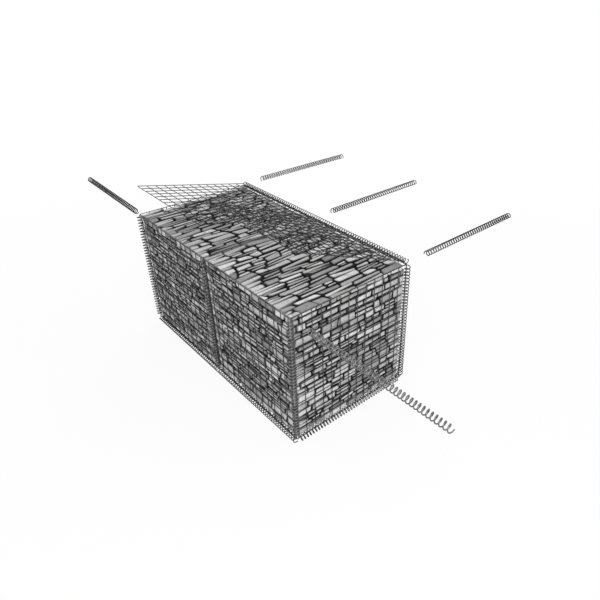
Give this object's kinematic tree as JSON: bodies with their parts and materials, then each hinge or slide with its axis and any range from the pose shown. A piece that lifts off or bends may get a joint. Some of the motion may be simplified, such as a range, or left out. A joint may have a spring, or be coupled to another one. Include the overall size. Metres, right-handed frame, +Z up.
{
  "type": "gabion wall",
  "caption": "Stone-filled welded-mesh gabion with a dividing diaphragm, spiral-bound edges, hinged lids ajar and loose spiral binders drawn out in line with the lid edges.",
  "frame": {"origin": "on the ground, under the centre of the basket", "axes": "+X along the length to the right when the front is faced, +Y to the hinged back, +Z up"},
  "size_m": [4.2267, 2.2088, 1.401],
  "materials": {
    "mesh": "galvanised wire, dull dark grey",
    "spiral": "galvanised wire, dull grey",
    "stone": "rough split grey stone"
  },
  "bodies": {
    "basket": {"base_panel_left": "mesh", "base_panel_right": "mesh", "front_panel_left": "mesh", "front_panel_right": "mesh", "back_panel_left": "mesh", "back_panel_right": "mesh", "end_panel_left": "mesh", "end_panel_right": "mesh", "diaphragm_panel": "mesh", "corner_spiral_front_left": "spiral", "corner_spiral_front_right": "spiral", "corner_spiral_back_left": "spiral", "corner_spiral_back_right": "spiral", "seam_spiral_front": "spiral", "seam_spiral_back": "spiral", "base_spiral_front_left": "spiral", "base_spiral_front_right": "spiral", "base_spiral_back_left": "spiral", "base_spiral_back_right": "spiral", "base_spiral_left": "spiral", "base_spiral_right": "spiral", "base_spiral_middle": "spiral", "hinge_spiral_left": "spiral", "hinge_spiral_right": "spiral", "lid_binder_left": "spiral", "lid_binder_middle": "spiral", "lid_binder_right": "spiral", "lid_binder_front_left": "spiral", "lid_binder_front_right": "spiral", "stone_fill_left": "stone", "stone_fill_right": "stone"},
    "left_lid": {"lid_left": "mesh"},
    "right_lid": {"lid_right": "mesh"}
  },
  "joints": [
    {"name": "left_lid_hinge", "type": "hinge", "parent": "basket", "child": "left_lid", "pos_m": [-0.5, 0.5, 1.02025], "axis": [-1, 0, 0], "range_deg": [-12.7, 152.3]},
    {"name": "right_lid_hinge", "type": "hinge", "parent": "basket", "child": "right_lid", "pos_m": [0.5, 0.5, 1.02025], "axis": [-1, 0, 0], "range_deg": [-22.5, 142.5]}
  ]
}
